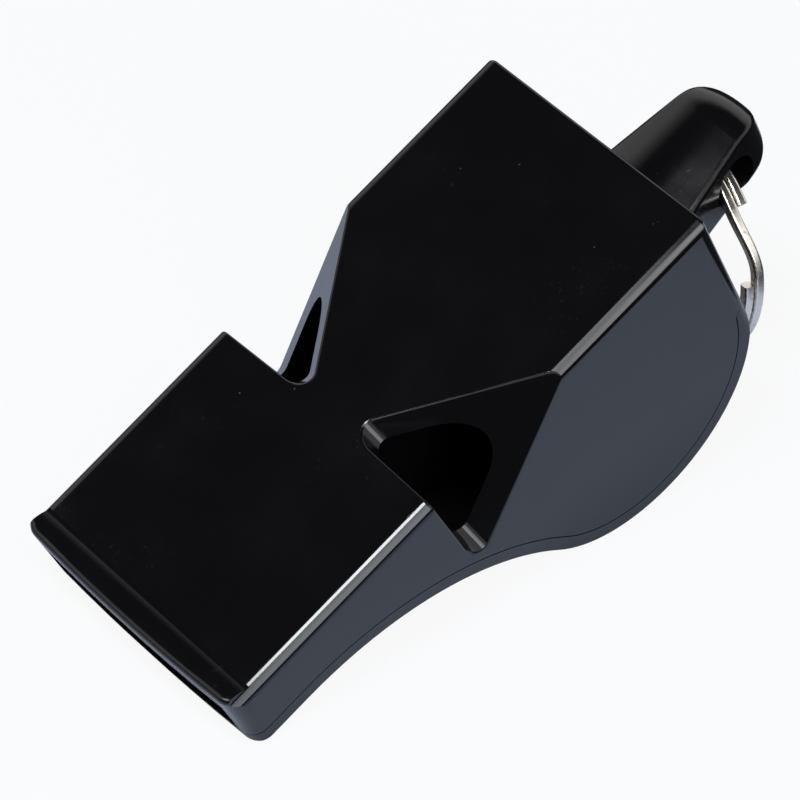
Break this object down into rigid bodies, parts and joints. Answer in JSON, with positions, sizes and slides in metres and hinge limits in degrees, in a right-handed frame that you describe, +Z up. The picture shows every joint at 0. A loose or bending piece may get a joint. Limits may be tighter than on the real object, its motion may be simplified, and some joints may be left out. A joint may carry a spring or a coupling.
{
  "type": "sports whistle",
  "caption": "Black moulded pealess sports whistle with bite lip, corner notches over side chambers, curved underside and a split ring swinging in its rear eyelet lug.",
  "frame": {"origin": "bottom centre of the box round the whistle as it rests on its lower lip and its bulge", "axes": "+X from the mouth to the eyelet lug, +Y to the left of the user who blows it, +Z up"},
  "size_m": [0.052, 0.02, 0.0243],
  "materials": {
    "body_plastic": "black moulded plastic, glossy, with fine handling scratches",
    "cover_plastic": "black moulded plastic, glossy",
    "core_plastic": "black moulded plastic, satin",
    "ring_steel": "nickel-plated spring steel, bright"
  },
  "bodies": {
    "whistle": {"main_body": "body_plastic", "underside_cover": "cover_plastic", "windway_core": "core_plastic"},
    "ring": {"split_ring": "ring_steel"}
  },
  "joints": [
    {"name": "ring_swing", "type": "hinge", "parent": "whistle", "child": "ring", "pos_m": [0.02228, 0, 0.01732], "axis": [0, 1, 0], "range_deg": [-226, 14]}
  ]
}
